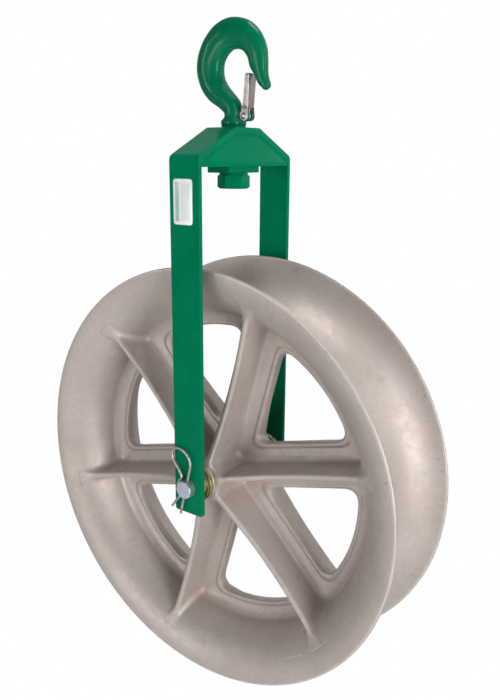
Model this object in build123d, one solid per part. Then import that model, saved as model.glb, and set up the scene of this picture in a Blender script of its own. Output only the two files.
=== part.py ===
from build123d import *
import math
import os

# Hook-type stringing block: a cast aluminium sheave in a welded flat-bar yoke, hung
# from a swivelling forged hook with a spring latch.
# Millimetres, +Z up.  The origin is the hook's bearing seat (top of the bowl), the
# sheave turns about +Y, the hook swivels about +Z and its plane is XZ.

# ------------------------------------------------------------------ driving sizes
SEAT_TO_AXLE = 582.0       # hook seat down to the sheave axle
ZA = -SEAT_TO_AXLE         # height of the sheave axle

SHEAVE_R = 304.8           # 24 in outside diameter
RIM_HALF = 81.2            # half width over the rims
GROOVE_LIP_Y = 77.0        # half width of the groove at the lips
GROOVE_ROOT_R = 246.8
WEB_IN_R = 214.0           # outer limit of the windows
SPOKES = 6
SPOKE_PHASE = 15.25        # degrees, first spoke from +Z towards +X
BLADE_HALF = 5.0           # half thickness of a spoke's blade
WEB_HALF = 8.0             # half thickness of the web plate
WINDOW_T = 33.0            # spoke centre line to window edge
WINDOW_R_OUT = 20.0
WINDOW_R_IN = 12.0
HUB_R = 31.0
HUB_Y = 71.0
HUB_NECK_R = 22.5
HUB_NECK_Y = 79.0
HUB_BORE_R = 16.0

PIN_R = 12.7               # 1 in axle pin
PIN_FRONT_Y = -114.1
PIN_HEAD_R = 17.5
PIN_HEAD_T = 6.0
PIN_HOLE_Y = -107.5        # plane of the hairpin clip
CLIP_R = 1.8               # clip wire radius
CLIP_TILT = 14.3           # degrees, clip leaning towards +X

BUSH_BORE_R = 12.76
BUSH_FLANGE_R = 26.0
BUSH_FLANGE_Y = 84.0

BAR_W = 49.0               # yoke bar, width and thickness
BAR_T = 6.4
YOKE_Y = 102.2             # outer face of a leg
LEG_BOTTOM = -39.1         # relative to the axle
YOKE_TOP = 484.1
SHOULDER_Z = 447.0         # where the legs turn inwards
CROWN_Y = 26.3             # half length of the flat crown
BEND_R = 9.0
GUSSET_Z = 434.0           # lower edge of the gussets
GUSSET_T = 4.8
GUSSET_SET = 1.0           # gusset face below the bar's edge

BLOCK_Y = 33.3
BLOCK_Z = 425.9
SHANK_R = 12.7
SLEEVE_R = 15.5
SLEEVE_BORE_R = 12.75

NUT_AF = 38.1
NUT_TURN = 36.2            # degrees, hexagon's corners from +X
NUT_BOTTOM = 404.9
NUT_TOP = 423.6
NUT_WASHER_TOP = 425.6

COLLAR_R = 16.5            # thrust washer between the crown and the hook's shoulder
COLLAR_Z = (484.4, 487.0)
SHOULDER_R = 17.1
SHOULDER_TOP = 493.6

PIVOT = (22.5, 498.5)      # latch pivot, x and height over the axle
SLOT_HALF = 2.9            # half width of the spring slot in the hook's lug
SPRING_R = 4.0             # mean coil radius of the latch spring
SPRING_WIRE = 0.6          # wire radius
SPRING_PITCH = 1.3
RUN = 0.05                 # radial running clearance

os.makedirs("parts", exist_ok=True)
PARTS = {}


def keep(name, shape):
    PARTS[name] = shape
    return shape


def cyl_y(r, y0, y1, x=0.0, z=ZA):
    """Solid cylinder along Y from y0 to y1."""
    return Pos(x, (y0 + y1) / 2, z) * Rot(90, 0, 0) * Cylinder(r, abs(y1 - y0))


def cyl_z(r, z0, z1, x=0.0, y=0.0):
    """Solid cylinder along Z; heights are over the axle."""
    return Pos(x, y, ZA + (z0 + z1) / 2) * Cylinder(r, abs(z1 - z0))


def ring_y(ro, ri, y0, y1):
    return cyl_y(ro, y0, y1) - cyl_y(ri, y0 - 1, y1 + 1)


def ring_z(ro, ri, z0, z1):
    return cyl_z(ro, z0, z1) - cyl_z(ri, z0 - 1, z1 + 1)


# ------------------------------------------------------------------ sheave casting
def shell_r(y):
    """Radius of the flange's side surface at half width y."""
    return 304.8 - 68.0 * math.sqrt(max(0.0, 1 - (y / 81.2) ** 2))


def groove_r(y):
    """Radius of the rope groove at half width y."""
    return 327.7 - math.sqrt(80.9 ** 2 - y * y)


def sheave():
    # ring section in (r, y), drawn on XY and revolved about Y
    side = [(shell_r(y), y) for y in (14.0, 25.0, 40.0, 53.0, 64.0, 72.0, 77.0, 79.6, 80.7, 81.0)]
    g = [(groove_r(y), y) for y in (77.0, 66.0, 50.0, 33.0, 16.0, 0.0)]
    pts_top = Polyline((side[0][0], 0.0), side[0])
    s1 = Spline(*side)
    lip = ThreePointArc(side[-1], (303.5, 80.4), (304.8, 78.8))
    lip_in = ThreePointArc((304.8, 78.8), (304.3, 77.5), g[0])
    s2 = Spline(*g, tangents=[(-0.35, -1.0), (0, -1)], tangent_scalars=[1, 1])
    close = Line(g[-1], (side[0][0], 0.0))
    half = make_face([pts_top, s1, lip, lip_in, s2, close])
    face = half + mirror(half, about=Plane.XZ)
    ring = revolve(face, Axis.Y, 360)

    # web plate with windows
    inner = Circle(side[0][0] + 4.0)
    plate = extrude(Plane.XZ * inner, WEB_HALF, both=True)

    # one window between the spokes at 0 and 60 degrees (bisector at 30)
    a = math.radians(30)
    tip = WINDOW_T / math.sin(a)
    far = 330.0
    half_w = (far - tip) * math.tan(a)
    wedge = make_face(Polyline((0, tip), (half_w, far), (-half_w, far), (0, tip)))
    win = wedge & Circle(WEB_IN_R)
    vs = win.vertices().sort_by(Axis.Y)
    win = fillet(vs[0], WINDOW_R_IN)
    vs = win.vertices().sort_by(Axis.Y)
    win = fillet(vs[-2:], WINDOW_R_OUT)
    # Plane.XZ has its local y along +Z and its normal along -Y
    cutter = extrude(Plane.XZ * win, 60, both=True)

    # blade section in (r, y): crest follows a shallow arc, outer end lies in the shell
    def crest(r):
        return 56.0 + 13.0 * ((r - 165.0) / 130.0) ** 2
    cr = [(r, crest(r)) for r in (24, 60, 100, 140, 180, 215, 240, 256)]
    outer = [(268.0, 66.0), (256.0, 46.0), (247.5, 25.0), (243.5, 0.0)]
    bl = [Polyline((24, 0), cr[0]), Spline(*cr), Polyline(cr[-1], *outer),
          Line(outer[-1], (24, 0))]
    bface = make_face(bl)
    bface = bface + mirror(bface, about=Plane.XZ)
    blade = extrude(bface, BLADE_HALF, both=True)
    foot = make_face(Polyline((24, 0), (24, 13.0), (238.0, 13.0), (244.0, 0), (24, 0)))
    foot = foot + mirror(foot, about=Plane.XZ)
    blade = blade + extrude(foot, 9.0, both=True)
    blade = Rot(0, -90, 0) * blade          # radial direction along +Z

    body = plate
    for k in range(SPOKES):
        body = body - Rot(0, SPOKE_PHASE + 30 + 60 * k, 0) * cutter
    for k in range(SPOKES):
        body = body + Rot(0, SPOKE_PHASE + 60 * k, 0) * blade
    body = body + Rot(90, 0, 0) * Cylinder(HUB_R, 2 * HUB_Y)
    body = body + Rot(90, 0, 0) * Cylinder(HUB_NECK_R, 2 * HUB_NECK_Y)
    body = body - Rot(90, 0, 0) * Cylinder(HUB_BORE_R, 200)
    # the spider meets the rim's shell face to face
    filled = make_face([Line(side[0], (side[0][0], 0.0)), Line((side[0][0], 0.0), (400.0, 0.0)),
                        Line((400.0, 0.0), (400.0, 81.0)), Line((400.0, 81.0), side[-1]), Spline(*side)])
    filled = filled + mirror(filled, about=Plane.XZ)
    body = body - revolve(filled, Axis.Y, 360)
    return Pos(0, 0, ZA) * ring, Pos(0, 0, ZA) * body


rim, spider = sheave()
# one casting, kept as a rim and a spider that meet face to face
keep("sheave_rim", rim)
keep("sheave_spider", spider)


def bushing(sign):
    y_in, y_f0, y_f1 = 34.0, HUB_NECK_Y, BUSH_FLANGE_Y
    b = cyl_y(HUB_BORE_R, sign * y_in, sign * y_f0) + cyl_y(BUSH_FLANGE_R, sign * y_f0, sign * y_f1)
    return b - cyl_y(BUSH_BORE_R, sign * (y_in - 1), sign * (y_f1 + 1))


keep("front_hub_bushing", bushing(-1))
keep("rear_hub_bushing", bushing(1))

# ------------------------------------------------------------------ yoke
OUT = [(-YOKE_Y, LEG_BOTTOM), (-YOKE_Y, SHOULDER_Z), (-CROWN_Y, YOKE_TOP),
       (CROWN_Y, YOKE_TOP), (YOKE_Y, SHOULDER_Z), (YOKE_Y, LEG_BOTTOM)]


def inset(points, d):
    """Offset the open outline inwards by d."""
    lines = []
    for (x0, z0), (x1, z1) in zip(points[:-1], points[1:]):
        L = math.hypot(x1 - x0, z1 - z0)
        nx, nz = (z1 - z0) / L, -(x1 - x0) / L
        lines.append(((x0 + nx * d, z0 + nz * d), ((x1 - x0) / L, (z1 - z0) / L)))
    out = [lines[0][0]]
    for (p, u), (q, v) in zip(lines[:-1], lines[1:]):
        det = u[0] * -v[1] + v[0] * u[1]
        s = ((q[0] - p[0]) * -v[1] + v[0] * (q[1] - p[1])) / det
        out.append((p[0] + u[0] * s, p[1] + u[1] * s))
    q, v = lines[-1]
    L = math.hypot(points[-1][0] - points[-2][0], points[-1][1] - points[-2][1])
    out.append((q[0] + v[0] * L, q[1] + v[1] * L))
    return out


INN = inset(OUT, BAR_T)


def outline_face(points, radius, floor=None):
    pts = [(y, z) for y, z in points]
    if floor is not None:
        pts[0] = (pts[0][0], floor)
        pts[-1] = (pts[-1][0], floor)
    f = make_face(Polyline(*pts, pts[0]))
    vs = [v for v in f.vertices() if v.Y > 400 and not (floor is not None and abs(v.Y - floor) < 1e-3)]
    return fillet(vs, radius)


def on_yz(face, x0, x1):
    """Face drawn as (y, height over axle), extruded along X from x0 to x1."""
    solid = extrude(face, x1 - x0)
    # local x -> +Y, local y -> +Z, local z -> +X
    return Pos(x0, 0, ZA) * Plane.YZ.location * solid


strap_face = outline_face(OUT, BEND_R) - outline_face([(y, z - (1 if i in (0, 5) else 0)) for i, (y, z) in enumerate(INN)], BEND_R - BAR_T)
strap = on_yz(strap_face, -BAR_W / 2, BAR_W / 2)
bottom_edges = [e for e in strap.edges().filter_by(Axis.Y)
                if abs(e.center().Z - (ZA + LEG_BOTTOM)) < 0.5]
strap = fillet(bottom_edges, 3.5)
strap = strap - cyl_y(PIN_R + RUN, -YOKE_Y - 5, YOKE_Y + 5)
strap = strap - cyl_z(SLEEVE_R, YOKE_TOP - 30, YOKE_TOP + 10)
keep("yoke_strap", strap)

g_in = outline_face(INN, BEND_R - BAR_T, floor=GUSSET_Z)
x_g1 = BAR_W / 2 - GUSSET_SET
x_g0 = x_g1 - GUSSET_T
keep("right_gusset", on_yz(g_in, x_g0, x_g1))
keep("left_gusset", on_yz(g_in, -x_g1, -x_g0))

# weld runs in the step between the bar's edges and the gussets
w_in = outline_face(inset(INN, 3.0), 2.0, floor=GUSSET_Z)
w_band = g_in - w_in
welds = [on_yz(w_band, x_g1, x_g1 + 0.8), on_yz(w_band, -x_g1 - 0.8, -x_g1)]
keep("gusset_welds", Compound(children=[s for w in welds for s in w.solids()]))

b_face = outline_face(INN, BEND_R - BAR_T, floor=BLOCK_Z) & (Pos(0, 455.0) * Rectangle(2 * BLOCK_Y, 120.0))
block = on_yz(b_face, -x_g0, x_g0)
low = [e for e in block.edges() if abs(e.center().Z - (ZA + BLOCK_Z)) < 0.1]
block = chamfer(low, 1.0)
block = block - cyl_z(SLEEVE_R, BLOCK_Z - 5, YOKE_TOP)
keep("swivel_block", block)
keep("swivel_sleeve", ring_z(SLEEVE_R, SLEEVE_BORE_R, BLOCK_Z, YOKE_TOP))

label = Pos(-2.0, -YOKE_Y - 0.2, ZA + 391.0) * Box(31.5, 0.4, 57.0)
label = fillet(label.edges().filter_by(Axis.Y), 4.0)
keep("label_plate", label)

# spacers between the legs and the hub
for nm, sg in (("front_spacer", -1), ("rear_spacer", 1)):
    keep(nm, ring_y(19.0, PIN_R + 0.1, min(sg * 87.3, sg * (YOKE_Y - BAR_T)), max(sg * 87.3, sg * (YOKE_Y - BAR_T))))
for nm, sg in (("front_thrust_washer", -1), ("rear_thrust_washer", 1)):
    keep(nm, ring_y(23.5, PIN_R + 0.1, min(sg * 84.3, sg * 87.3), max(sg * 84.3, sg * 87.3)))

# ------------------------------------------------------------------ axle pin and clip
pin = cyl_y(PIN_R, PIN_FRONT_Y, YOKE_Y + 0.3)
pin = chamfer([e for e in pin.edges() if abs(e.center().Y - PIN_FRONT_Y) < 0.1], 1.6)
head = cyl_y(PIN_HEAD_R, YOKE_Y + 0.3, YOKE_Y + 0.3 + PIN_HEAD_T)
head = fillet([e for e in head.edges() if abs(e.center().Y - (YOKE_Y + 0.3 + PIN_HEAD_T)) < 0.1], 1.5)
pin = pin + head
tilt = Rot(0, CLIP_TILT, 0)
hole = Pos(0, PIN_HOLE_Y, ZA) * tilt * Cylinder(CLIP_R + 0.25, 60)
keep("axle_pin", pin - hole)

# hairpin clip, drawn in its own plane: u across, v along the straight leg
clip_pts = [(-17.5, -38.5), (-8.0, -18.5), (-19.5, 0.0), (-8.5, 18.0), (-37.0, 27.0),
            (-34.5, 53.5), (0.0, 52.0), (0.0, 20.0), (0.0, -41.0)]
clip_path = FilletPolyline(*clip_pts[:-2], clip_pts[-1], radius=[5.0, 11.0, 4.0, 7.0, 15.5, 16.5])
# plane with local x -> +X, local y -> +Z
path = Plane.XZ * clip_path
start = path @ 0
tan0 = path % 0
prof = Plane(origin=start, z_dir=tan0) * Circle(CLIP_R)
clip = sweep(prof, path=path)
clip = Pos(0, PIN_HOLE_Y, ZA) * tilt * clip
keep("hairpin_clip", clip)

# ------------------------------------------------------------------ hook
# centre x, centre height, half depth in the hook plane, half thickness, heading of the
# centre line in degrees (0 = +Z, positive towards -X)
HOOK = [
    (0.0, 488.3, 12.4, 12.4, 0),
    (0.0, 495.0, 12.4, 12.4, 0),
    (0.0, 501.5, 12.5, 12.4, 6),
    (-2.6, 510.5, 13.2, 13.0, 36),
    (-12.8, 519.6, 13.6, 14.0, 50),
    (-26.0, 530.1, 16.3, 14.2, 44),
    (-35.5, 542.7, 18.4, 14.2, 25),
    (-39.5, 558.8, 20.2, 14.2, 1),
    (-36.3, 575.7, 20.2, 14.2, -23),
    (-26.0, 590.2, 20.4, 13.8, -46),
    (-11.8, 599.4, 20.2, 13.4, -69),
    (2.9, 601.3, 19.5, 13.0, -93),
    (18.3, 597.6, 18.3, 12.6, -115),
    (30.1, 588.7, 16.5, 12.0, -138),
    (38.0, 575.5, 14.5, 11.0, -158),
    (40.9, 561.5, 12.9, 10.0, -165),
    (44.6, 550.7, 9.4, 8.8, -160),
    (48.4, 541.1, 7.9, 7.4, -151),
    (53.5, 534.3, 6.1, 5.8, -139),
]


def hook_section(x, h, a, b, ang):
    t = math.radians(ang)
    z_dir = (-math.sin(t), 0, math.cos(t))
    x_dir = (math.cos(t), 0, math.sin(t))
    pl = Plane(origin=(x, 0, ZA + h), x_dir=x_dir, z_dir=z_dir)
    return pl * Ellipse(a, b)


secs = [hook_section(*s) for s in HOOK]
bowl = loft(secs)
tip = Pos(52.7, 0, ZA + 535.2) * Sphere(5.7)
shank = cyl_z(SHANK_R, NUT_BOTTOM - 0.4, 489.5)
shoulder = cyl_z(SHOULDER_R, COLLAR_Z[1], SHOULDER_TOP)
shoulder = fillet(shoulder.edges().filter_by(GeomType.CIRCLE), 1.4)
lug = cyl_y(6.6, -6.1, 6.1, x=PIVOT[0], z=ZA + PIVOT[1])
lug_link = Pos(11.5, 0, ZA + PIVOT[1] + 0.2) * Box(22.0, 12.2, 12.8)
hook = shank + shoulder + bowl + tip + lug + lug_link
# slot in the lug for the latch spring
hook = hook - Pos(25.4, 0, ZA + PIVOT[1]) * Box(18.0, 2 * SLOT_HALF, 22.0)
hook = hook - cyl_y(3.0, -9, 9, x=PIVOT[0], z=ZA + PIVOT[1])
# cross hole for the nut's roll pin
hook = hook - Pos(0, 0, ZA + 413.0) * Rot(0, 90, 0) * Cylinder(2.5, 60)
keep("hook_body", hook)

keep("collar_washer", ring_z(COLLAR_R, 12.75, *COLLAR_Z))

nut_f = RegularPolygon(radius=NUT_AF / 2, side_count=6, major_radius=False)
nut = Pos(0, 0, ZA + NUT_BOTTOM) * Rot(0, 0, NUT_TURN) * extrude(nut_f, NUT_TOP - NUT_BOTTOM)
crown = Pos(0, 0, ZA + (NUT_BOTTOM + NUT_TOP) / 2) * Cylinder(NUT_AF / 2 * 1.155, NUT_TOP - NUT_BOTTOM)
crown = chamfer(crown.edges().filter_by(GeomType.CIRCLE), 1.5, 2.6)
nut = nut & crown
nut = nut - cyl_z(SHANK_R, NUT_BOTTOM - 2, NUT_TOP + 2)
nut = nut - Pos(-13.0, 0, ZA + 413.0) * Rot(0, 90, 0) * Cylinder(2.5, 54)
keep("swivel_nut", nut)
keep("nut_washer", ring_z(19.5, SHANK_R + 0.1, NUT_TOP, NUT_WASHER_TOP))
roll = Pos(-2.6, 0, ZA + 413.0) * Rot(0, 90, 0) * (Cylinder(2.5, 31.8) - Cylinder(1.3, 40.0))
keep("nut_roll_pin", roll)

# ------------------------------------------------------------------ latch
# sheet channel, flanges either side of the lug, web on the +X side
px, pz = PIVOT


def latch():
    t = 1.6
    # side outline of a flange in (x, height)
    prof = [(px - 6.3, pz + 1.0), (24.6, 551.0), (30.2, 551.0), (30.6, 543.0), (px + 8.4, pz + 9.0), (px + 6.3, pz - 0.5)]
    fl = make_face(Polyline(*prof, prof[0]))
    fl = fl + Pos(px, pz) * Circle(6.4)
    flange_n = Pos(0, 0, ZA) * extrude(Plane.XZ * fl, t)          # towards -Y
    near = Pos(0, -6.5, 0) * flange_n
    far = Pos(0, 6.5 + t, 0) * flange_n
    # web between the flanges
    web = make_face(Polyline((px + 6.9, pz + 10.0), (29.0, 546.0), (30.6, 543.0), (px + 8.5, pz + 10.0), (px + 6.9, pz + 10.0)))
    web = Pos(0, 7.0, ZA) * extrude(Plane.XZ * web, 14.0)
    ch = near + far + web
    ch = ch - cyl_y(3.05, -12, 12, x=px, z=ZA + pz)
    return ch


keep("hook_latch", latch())
rivet = cyl_y(3.0, -8.4, 8.4, x=px, z=ZA + pz)
rh1 = cyl_y(4.4, -10.2, -8.4, x=px, z=ZA + pz)
rh2 = cyl_y(4.4, 8.4, 10.2, x=px, z=ZA + pz)
keep("latch_rivet", rivet + rh1 + rh2)


def torsion_spring():
    # coil round the rivet in the lug's slot; one leg up the web, one against the hook
    turns = 2.25
    h = turns * SPRING_PITCH
    pts = []
    n = 16
    for i in range(int(turns * n) + 1):
        t = 2 * math.pi * i / n
        pts.append((px + SPRING_R * math.cos(t), -h / 2 + SPRING_PITCH * t / (2 * math.pi),
                    ZA + pz - SPRING_R * math.sin(t)))
    up = (px + 5.7, -h / 2, ZA + pz + 31.0)
    down = (px - 5.4, h / 2, ZA + pz - SPRING_R)
    coil = Spline(*pts, tangents=[(0, 0.2, -4.0), (-4.0, 0.2, 0)], tangent_scalars=[1, 1])
    wire = sweep(Plane(origin=coil @ 0, z_dir=coil % 0) * Circle(SPRING_WIRE), path=coil)
    for a, b in ((pts[0], up), (pts[-1], down)):
        d = Vector(*b) - Vector(*a)
        leg = extrude(Plane(origin=a, z_dir=d.normalized()) * Circle(SPRING_WIRE), d.length)
        wire = wire + leg + Pos(*a) * Sphere(SPRING_WIRE)
    return wire


keep("latch_spring", torsion_spring())

for name, shape in PARTS.items():
    sols = shape.solids()
    shape = sols[0] if len(sols) == 1 else Compound(children=list(sols))
    export_step(shape, f"parts/{name}.step")
    bb = shape.bounding_box()
    print(f"{name:22s} solids {len(shape.solids())} vol {shape.volume/1000:9.2f} cm3  "
          f"x {bb.min.X:7.1f}..{bb.max.X:7.1f}  y {bb.min.Y:7.1f}..{bb.max.Y:7.1f}  z {bb.min.Z:7.1f}..{bb.max.Z:7.1f}")
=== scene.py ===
import math

import bmesh
import bpy
import numpy as np
from mathutils import Matrix, Vector


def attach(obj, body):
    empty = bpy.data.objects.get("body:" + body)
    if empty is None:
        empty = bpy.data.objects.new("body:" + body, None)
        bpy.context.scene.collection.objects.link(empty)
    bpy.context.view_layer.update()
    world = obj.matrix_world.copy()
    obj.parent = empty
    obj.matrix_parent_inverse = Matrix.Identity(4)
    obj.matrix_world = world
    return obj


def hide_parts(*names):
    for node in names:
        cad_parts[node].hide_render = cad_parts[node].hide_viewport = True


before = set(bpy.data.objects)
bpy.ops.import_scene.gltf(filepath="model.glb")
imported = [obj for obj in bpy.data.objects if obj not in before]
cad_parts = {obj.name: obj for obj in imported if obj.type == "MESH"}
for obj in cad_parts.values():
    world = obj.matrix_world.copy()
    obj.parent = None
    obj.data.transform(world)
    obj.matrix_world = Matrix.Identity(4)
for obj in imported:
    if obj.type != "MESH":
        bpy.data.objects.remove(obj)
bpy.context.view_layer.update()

# All sizes below are millimetres in the row frame unless said otherwise.  The hook's seat
# is the origin, the sheave's axle is at z = ZA.
ZA = -582.0
MM = 0.001
PI = math.pi


# ----------------------------------------------------------------------------- meshes
def mesh_arrays(name, verts, quads):
    """A mesh from arrays of vertices (mm) and quads, quickly."""
    me = bpy.data.meshes.new(name)
    v = (np.asarray(verts, np.float64) * MM).astype(np.float32)
    q = np.asarray(quads, np.int32)
    me.vertices.add(len(v))
    me.vertices.foreach_set("co", v.ravel())
    me.loops.add(q.size)
    me.loops.foreach_set("vertex_index", q.ravel())
    me.polygons.add(len(q))
    me.polygons.foreach_set("loop_start", np.arange(len(q), dtype=np.int32) * 4)
    me.update(calc_edges=True)
    me.validate()
    return me


def mesh_lists(name, verts, faces):
    me = bpy.data.meshes.new(name)
    me.from_pydata((np.asarray(verts, float) * MM).tolist(), [], [list(map(int, f)) for f in faces])
    me.update()
    return me


def tidy(me, weld=1e-6):
    bm = bmesh.new()
    bm.from_mesh(me)
    bmesh.ops.remove_doubles(bm, verts=bm.verts, dist=weld)
    bmesh.ops.dissolve_degenerate(bm, edges=bm.edges, dist=weld * 0.5)
    bmesh.ops.recalc_face_normals(bm, faces=bm.faces)
    bm.to_mesh(me)
    bm.free()
    me.update()


def smooth(me, angle=None):
    me.polygons.foreach_set("use_smooth", np.ones(len(me.polygons), bool))
    if angle is not None:
        me.set_sharp_from_angle(angle=math.radians(angle))
    me.update()


def put(name, me):
    o = bpy.data.objects.new(name, me)
    bpy.context.scene.collection.objects.link(o)
    return o


def baked(o):
    """Apply an object's modifiers to its mesh."""
    dg = bpy.context.evaluated_depsgraph_get()
    dg.update()
    me = bpy.data.meshes.new_from_object(o.evaluated_get(dg), depsgraph=dg)
    old = o.data
    o.modifiers.clear()
    o.data = me
    bpy.data.meshes.remove(old)
    return o


def drop(o):
    me = o.data
    bpy.data.objects.remove(o)
    bpy.data.meshes.remove(me)


def cut(o, tool, op="DIFFERENCE", keep_tool=False):
    m = o.modifiers.new("b", "BOOLEAN")
    m.operation = op
    m.solver = "EXACT"
    m.object = tool
    baked(o)
    if not keep_tool:
        drop(tool)
    return o


def bevelled(o, width, segs=2, angle=30):
    m = o.modifiers.new("v", "BEVEL")
    m.width = width * MM
    m.segments = segs
    m.limit_method = "ANGLE"
    m.angle_limit = math.radians(angle)
    m.use_clamp_overlap = True
    m.harden_normals = False
    return baked(o)


def lathe(profile, axis="Y", segs=96, centre=(0.0, 0.0, 0.0), name="lathe"):
    """Closed profile of (radius, height) turned about an axis."""
    p = np.asarray(profile, float)
    n = len(p)
    a = np.arange(segs) * 2 * PI / segs
    R = p[:, 0][:, None]
    H = np.repeat(p[:, 1][:, None], segs, 1)
    A, B = R * np.sin(a)[None], R * np.cos(a)[None]
    if axis == "Y":
        V = np.stack([A, H, B], -1)
    elif axis == "Z":
        V = np.stack([A, -B, H], -1)
    else:
        V = np.stack([H, A, B], -1)
    V = V.reshape(-1, 3) + np.asarray(centre, float)
    i = np.arange(n)
    j = (i + 1) % n
    k = np.arange(segs)
    l = (k + 1) % segs
    q = np.stack([(i[:, None] * segs + k[None]), (j[:, None] * segs + k[None]),
                  (j[:, None] * segs + l[None]), (i[:, None] * segs + l[None])], -1).reshape(-1, 4)
    me = mesh_lists(name, V, q)
    tidy(me)
    return me


def rounded(points, radius, n=4, closed=True):
    """Polyline with its corners rounded.  A point may carry its own radius as a third number."""
    pts = [(float(p[0]), float(p[1])) for p in points]
    rad = [float(p[2]) if len(p) > 2 else float(radius) for p in points]
    out = []
    m = len(pts)
    for i in range(m):
        if not closed and i in (0, m - 1):
            out.append(pts[i])
            continue
        a, b, c = np.array(pts[i - 1]), np.array(pts[i]), np.array(pts[(i + 1) % m])
        u, v = a - b, c - b
        lu, lv = np.linalg.norm(u), np.linalg.norm(v)
        r = rad[i]
        if r <= 0 or lu < 1e-9 or lv < 1e-9:
            out.append(tuple(b))
            continue
        u, v = u / lu, v / lv
        ang = math.acos(max(-1, min(1, float(u @ v))))
        if ang > PI - 0.02:
            out.append(tuple(b))
            continue
        d = min(r / math.tan(ang / 2), 0.49 * lu, 0.49 * lv)
        r = d * math.tan(ang / 2)
        w = (u + v) / np.linalg.norm(u + v)
        ctr = b + w * (r / math.sin(ang / 2))
        p0, p1 = b + u * d, b + v * d
        a0 = math.atan2(*(p0 - ctr)[::-1])
        a1 = math.atan2(*(p1 - ctr)[::-1])
        da = (a1 - a0 + PI) % (2 * PI) - PI
        for t in range(n + 1):
            g = a0 + da * t / n
            out.append((ctr[0] + r * math.cos(g), ctr[1] + r * math.sin(g)))
    return out


def catmull(P, n):
    """Centripetal-like smooth curve through the rows of P, n steps a span."""
    P = np.asarray(P, float)
    E = np.vstack([2 * P[0] - P[1], P, 2 * P[-1] - P[-2]])
    out = []
    for i in range(1, len(E) - 2):
        p0, p1, p2, p3 = E[i - 1], E[i], E[i + 1], E[i + 2]
        for t in np.arange(n) / n:
            out.append(0.5 * ((2 * p1) + (-p0 + p2) * t + (2 * p0 - 5 * p1 + 4 * p2 - p3) * t * t
                              + (-p0 + 3 * p1 - 3 * p2 + p3) * t ** 3))
    out.append(E[-2])
    return np.array(out)


def tube(path, radius, segs=16, name="tube", radii=None):
    """A round bar along a path of points, its two ends slightly domed."""
    P = np.asarray(path, float)
    T = np.gradient(P, axis=0)
    T /= np.linalg.norm(T, axis=1)[:, None]
    up = np.array([0.0, 1.0, 0.0])
    if abs(T[0] @ up) > 0.9:
        up = np.array([1.0, 0.0, 0.0])
    N = np.cross(T[0], up)
    N /= np.linalg.norm(N)
    frames = []
    for i in range(len(P)):
        if i:
            N = N - T[i] * (N @ T[i])
            N /= np.linalg.norm(N)
        frames.append((N.copy(), np.cross(T[i], N)))
    rr = np.full(len(P), float(radius)) if radii is None else np.asarray(radii, float)
    rings, a = [], np.arange(segs) * 2 * PI / segs

    def ring(c, fr, r):
        return c + r * (np.cos(a)[:, None] * fr[0] + np.sin(a)[:, None] * fr[1])
    for s, r in ((0.35, 0.0), (0.33, 0.55), (0.18, 0.85)):
        rings.append(ring(P[0] - T[0] * rr[0] * s, frames[0], rr[0] * max(r, 1e-4)))
    for i in range(len(P)):
        rings.append(ring(P[i], frames[i], rr[i]))
    for s, r in ((0.18, 0.85), (0.33, 0.55), (0.35, 0.0)):
        rings.append(ring(P[-1] + T[-1] * rr[-1] * s, frames[-1], rr[-1] * max(r, 1e-4)))
    V = np.vstack(rings)
    m = len(rings)
    i = np.arange(m - 1)[:, None] * segs
    k = np.arange(segs)[None]
    l = (k + 1) % segs
    q = np.stack([i + k, i + l, i + segs + l, i + segs + k], -1).reshape(-1, 4)
    me = mesh_lists(name, V, q)
    tidy(me)
    return me


def skin(rings, name="skin", closed_ends=True):
    """Quads between rings of equal length, each end capped by one face."""
    R = np.asarray(rings, float)
    m, n = R.shape[:2]
    i = np.arange(m - 1)[:, None] * n
    k = np.arange(n)[None]
    l = (k + 1) % n
    faces = np.stack([i + k, i + l, i + n + l, i + n + k], -1).reshape(-1, 4).tolist()
    if closed_ends:
        faces.append(list(range(n))[::-1])
        faces.append(list(range((m - 1) * n, m * n)))
    me = mesh_lists(name, R.reshape(-1, 3), faces)
    tidy(me)
    return me


def prism(outline, lo, hi, plane="XZ", name="prism"):
    """A closed outline of points extruded between two levels across its plane."""
    p = np.asarray(outline, float)
    n = len(p)

    def at(level):
        c = np.full(n, float(level))
        if plane == "XZ":
            return np.stack([p[:, 0], c, p[:, 1]], -1)
        if plane == "YZ":
            return np.stack([c, p[:, 0], p[:, 1]], -1)
        return np.stack([p[:, 0], p[:, 1], c], -1)
    V = np.vstack([at(lo), at(hi)])
    faces = [list(range(n)), list(range(n, 2 * n))[::-1]]
    faces += [[i, (i + 1) % n, n + (i + 1) % n, n + i] for i in range(n)]
    me = mesh_lists(name, V, faces)
    tidy(me)
    return me


def box_mesh(lo, hi, name="box"):
    return prism([(lo[0], lo[1]), (hi[0], lo[1]), (hi[0], hi[1]), (lo[0], hi[1])], lo[2], hi[2], "XY", name)


# ----------------------------------------------------------------- casting unevenness
def lumps(P, amp, scale, seed=0.0):
    """A slow uneven field over points in mm, between about -amp and amp."""
    x, y, z = (P / scale).T
    a = np.sin(1.31 * x + 1.7 * np.sin(0.83 * y + seed) + 0.4 + seed)
    b = np.sin(1.13 * y + 1.3 * np.sin(1.07 * z + 2.1 * seed) + 1.9)
    c = np.sin(0.97 * z + 1.5 * np.sin(0.91 * x + 0.7 * seed) + 3.1)
    return amp * (a * b + b * c + c * a) / 2.2


def vertex_normals(V, q):
    n = np.cross(V[q[:, 2]] - V[q[:, 0]], V[q[:, 3]] - V[q[:, 1]])
    N = np.zeros_like(V)
    for c in range(q.shape[1]):
        np.add.at(N, q[:, c], n)
    return N / np.maximum(np.linalg.norm(N, axis=1)[:, None], 1e-12)


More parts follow.
